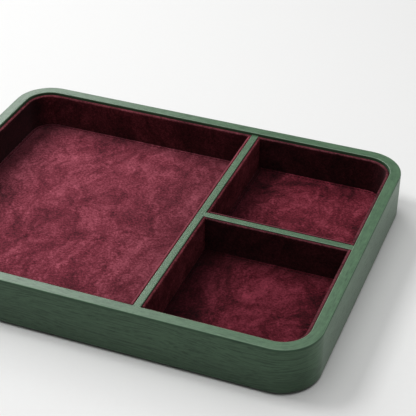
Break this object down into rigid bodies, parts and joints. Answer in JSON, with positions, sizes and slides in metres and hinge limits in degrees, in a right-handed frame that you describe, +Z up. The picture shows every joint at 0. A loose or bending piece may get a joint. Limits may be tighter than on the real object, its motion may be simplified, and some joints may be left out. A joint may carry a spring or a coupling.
{
  "type": "valet tray",
  "caption": "Low rectangular desk tray with large rounded corners, a stained wood frame and dividers, and suede-lined bays with sewn floor pads.",
  "frame": {"origin": "on the table under the middle of the tray, in the plane of the feet's treads", "axes": "+X along the tray towards the two small bays, +Y towards the back, +Z up"},
  "size_m": [0.32, 0.25, 0.0375],
  "materials": {
    "stained_wood": "open-pore ash, stained green, matt oil",
    "plywood": "birch plywood, sanded",
    "suede": "burgundy suede, brushed nap",
    "core_board": "pressed grey board",
    "foam": "thin open-cell foam sheet",
    "thread": "burgundy polyester thread",
    "felt": "black pressed felt",
    "rubber": "matt black rubber"
  },
  "bodies": {
    "root": {"tray_frame": "stained_wood", "long_divider": "stained_wood", "cross_divider": "stained_wood", "base_board": "plywood", "underside_felt": "felt", "foot_front_left": "rubber", "foot_front_right": "rubber", "foot_back_left": "rubber", "foot_back_right": "rubber", "main_wall_core": "core_board", "main_wall_suede": "suede", "main_floor_board": "core_board", "main_floor_foam": "foam", "main_floor_suede": "suede", "main_floor_stitching": "thread", "back_wall_core": "core_board", "back_wall_suede": "suede", "back_floor_board": "core_board", "back_floor_foam": "foam", "back_floor_suede": "suede", "back_floor_stitching": "thread", "front_wall_core": "core_board", "front_wall_suede": "suede", "front_floor_board": "core_board", "front_floor_foam": "foam", "front_floor_suede": "suede", "front_floor_stitching": "thread", "main_long_divider_core": "core_board", "main_long_divider_suede": "suede", "back_long_divider_core": "core_board", "back_long_divider_suede": "suede", "back_cross_divider_core": "core_board", "back_cross_divider_suede": "suede", "front_long_divider_core": "core_board", "front_long_divider_suede": "suede", "front_cross_divider_core": "core_board", "front_cross_divider_suede": "suede"}
  },
  "joints": []
}
